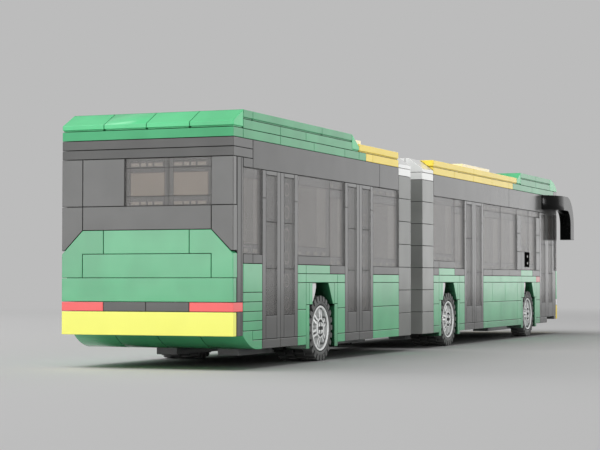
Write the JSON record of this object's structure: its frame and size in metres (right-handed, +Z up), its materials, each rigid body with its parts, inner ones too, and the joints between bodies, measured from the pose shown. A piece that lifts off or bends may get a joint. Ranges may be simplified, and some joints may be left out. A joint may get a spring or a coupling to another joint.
{
  "type": "toy brick-built articulated bus model",
  "caption": "Toy city bus of plastic building bricks: two hinged body sections with bellows, doors, windows, mirrors and wheels.",
  "frame": {"origin": "on the floor under the middle of the whole model", "axes": "+X forward to the nose, +Y to the bus's left, +Z up"},
  "size_m": [0.456, 0.08, 0.0863],
  "materials": {
    "axle_grey": "smooth moulded plastic",
    "bellows_grey": "smooth moulded plastic",
    "black": "smooth moulded plastic",
    "chassis_grey": "smooth moulded plastic",
    "clear_strip": "smoky transparent plastic",
    "cream": "smooth moulded plastic",
    "dark_grey": "smooth moulded plastic",
    "green": "smooth moulded plastic",
    "light_grey": "smooth moulded plastic",
    "red_lamp": "smooth moulded plastic",
    "rim_grey": "smooth moulded plastic",
    "smoky_window": "smoky transparent plastic",
    "tyre": "soft black rubber",
    "white": "smooth moulded plastic",
    "yellow": "smooth moulded plastic"
  },
  "bodies": {
    "front_section": {"door_button": "black", "front_bellows_bricks": "bellows_grey", "front_bellows_caps": "white", "front_chassis": "chassis_grey", "front_clear_strips": "clear_strip", "front_door_frames": "dark_grey", "front_door_panes": "smoky_window", "front_fenders": "green", "front_liners": "light_grey", "front_roof_cream": "cream", "front_roof_green": "green", "front_roof_slopes": "green", "front_roof_yellow": "yellow", "front_wall_dark": "dark_grey", "front_wall_green": "green", "front_windows": "smoky_window", "mirrors": "black", "nose_backing": "dark_grey", "nose_bumper": "yellow", "nose_header": "dark_grey", "nose_lamps": "white", "nose_tiles_dark": "dark_grey", "nose_tiles_green": "green", "side_markers": "red_lamp", "windscreen": "smoky_window"},
    "rear_section": {"rear_bellows_bricks": "bellows_grey", "rear_bellows_caps": "white", "rear_chassis": "chassis_grey", "rear_clear_strips": "clear_strip", "rear_door_frames": "dark_grey", "rear_door_panes": "smoky_window", "rear_fenders": "green", "rear_liners": "light_grey", "rear_roof_cream": "cream", "rear_roof_green": "green", "rear_roof_slopes": "green", "rear_roof_yellow": "yellow", "rear_wall_dark": "dark_grey", "rear_wall_green": "green", "rear_windows": "smoky_window", "tail_backing": "dark_grey", "tail_bumper": "yellow", "tail_header": "dark_grey", "tail_lamps": "red_lamp", "tail_skirts": "green", "tail_tiles_dark": "dark_grey", "tail_tiles_green": "green", "tail_windows": "smoky_window"},
    "rear_wheelset": {"rear_axle": "axle_grey", "rear_rims": "rim_grey", "rear_tyres": "tyre"},
    "mid_wheelset": {"mid_axle": "axle_grey", "mid_rims": "rim_grey", "mid_tyres": "tyre"},
    "front_wheelset": {"front_axle": "axle_grey", "front_rims": "rim_grey", "front_tyres": "tyre"}
  },
  "joints": [
    {"name": "articulation", "type": "hinge", "parent": "front_section", "child": "rear_section", "pos_m": [-0.036, 0, 0.0064], "axis": [0, 0, 1], "range_deg": [-25, 25]},
    {"name": "rear_wheels", "type": "hinge", "parent": "rear_section", "child": "rear_wheelset", "pos_m": [-0.148, 0, 0.012], "axis": [0, 1, 0], "continuous": true},
    {"name": "mid_wheels", "type": "hinge", "parent": "front_section", "child": "mid_wheelset", "pos_m": [0.012, 0, 0.012], "axis": [0, 1, 0], "continuous": true},
    {"name": "front_wheels", "type": "hinge", "parent": "front_section", "child": "front_wheelset", "pos_m": [0.156, 0, 0.012], "axis": [0, 1, 0], "continuous": true}
  ]
}
